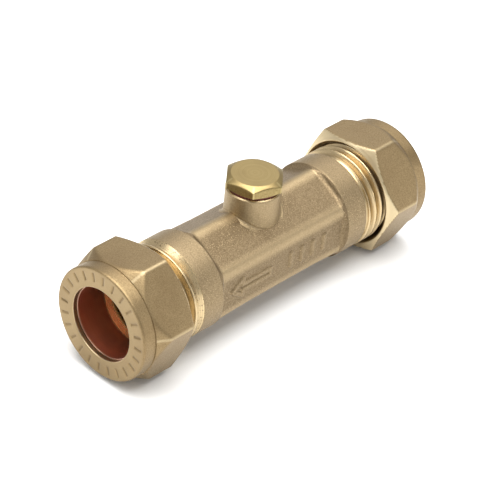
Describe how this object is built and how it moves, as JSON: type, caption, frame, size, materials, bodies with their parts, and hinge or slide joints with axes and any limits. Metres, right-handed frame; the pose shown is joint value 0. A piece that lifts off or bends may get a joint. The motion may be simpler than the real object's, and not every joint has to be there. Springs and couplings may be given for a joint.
{
  "type": "double check valve",
  "caption": "Straight brass double check valve for copper pipe: a compression nut and olive at each end, a capped test port on top, and a spring-loaded cartridge behind each end.",
  "frame": {"origin": "on the pipe axis at the shoulder that stops the inlet pipe", "axes": "+X along the pipe axis in the direction of flow, towards the outlet; +Z along the test plug; +Y to the side that carries the raised flow arrow"},
  "size_m": [0.0814, 0.0276, 0.03],
  "materials": {
    "cast_brass": "shot-blasted hot-stamped brass, fine grain",
    "nut_brass": "turned and blasted brass",
    "plug_brass": "bright turned brass",
    "olive_copper": "drawn copper, satin",
    "spring_steel": "drawn stainless spring steel",
    "acetal": "moulded acetal",
    "acetal_poppet": "moulded acetal, blue",
    "seal_rubber": "EPDM rubber",
    "fibre": "pressed red fibre"
  },
  "bodies": {
    "body": {"valve_body": "cast_brass", "inlet_retaining_ring": "spring_steel", "outlet_retaining_ring": "spring_steel", "upstream_housing": "acetal", "upstream_housing_seal": "seal_rubber", "upstream_spring": "spring_steel", "upstream_stem_guide": "acetal", "downstream_housing": "acetal", "downstream_housing_seal": "seal_rubber", "downstream_spring": "spring_steel", "downstream_stem_guide": "acetal"},
    "inlet_olive": {"inlet_olive": "olive_copper"},
    "inlet_nut": {"inlet_nut": "nut_brass"},
    "outlet_olive": {"outlet_olive": "olive_copper"},
    "outlet_nut": {"outlet_nut": "nut_brass"},
    "test_plug_seal": {"test_plug_seal": "fibre"},
    "test_plug": {"test_plug": "plug_brass"},
    "upstream_poppet": {"upstream_poppet": "acetal_poppet", "upstream_poppet_seal": "seal_rubber"},
    "downstream_poppet": {"downstream_poppet": "acetal_poppet", "downstream_poppet_seal": "seal_rubber"}
  },
  "joints": [
    {"name": "outlet_olive_slide", "type": "slide", "parent": "body", "child": "outlet_olive", "axis": [1, 0, 0], "range_m": [0, 0.00726]},
    {"name": "outlet_nut_turn", "type": "hinge", "parent": "outlet_olive", "child": "outlet_nut", "pos_m": [0.0565, 0, 0], "axis": [1, 0, 0], "range_deg": [0, 1440]},
    {"name": "inlet_olive_slide", "type": "slide", "parent": "body", "child": "inlet_olive", "axis": [-1, 0, 0], "range_m": [0, 0.00726]},
    {"name": "inlet_nut_turn", "type": "hinge", "parent": "inlet_olive", "child": "inlet_nut", "pos_m": [-0.0135, 0, 0], "axis": [-1, 0, 0], "range_deg": [0, 1440]},
    {"name": "plug_lift", "type": "slide", "parent": "body", "child": "test_plug_seal", "axis": [0, 0, 1], "range_m": [0, 0.005]},
    {"name": "plug_turn", "type": "hinge", "parent": "test_plug_seal", "child": "test_plug", "pos_m": [0.022, 0, 0.0142], "axis": [0, 0, 1], "range_deg": [0, 1800]},
    {"name": "upstream_poppet_slide", "type": "slide", "parent": "body", "child": "upstream_poppet", "axis": [1, 0, 0], "range_m": [0, 0.0028], "stiffness_N_per_m": 150, "springref_m": -0.002, "deforming": ["upstream_spring"]},
    {"name": "downstream_poppet_slide", "type": "slide", "parent": "body", "child": "downstream_poppet", "axis": [1, 0, 0], "range_m": [0, 0.0028], "stiffness_N_per_m": 150, "springref_m": -0.002, "deforming": ["downstream_spring"]}
  ],
  "couplings": [
    {"joint": "outlet_olive_slide", "follows": "outlet_nut_turn", "m_per_rad": 0.00028871},
    {"joint": "inlet_olive_slide", "follows": "inlet_nut_turn", "m_per_rad": 0.00028871},
    {"joint": "plug_turn", "follows": "plug_lift", "rad_per_m": 6283.2}
  ]
}
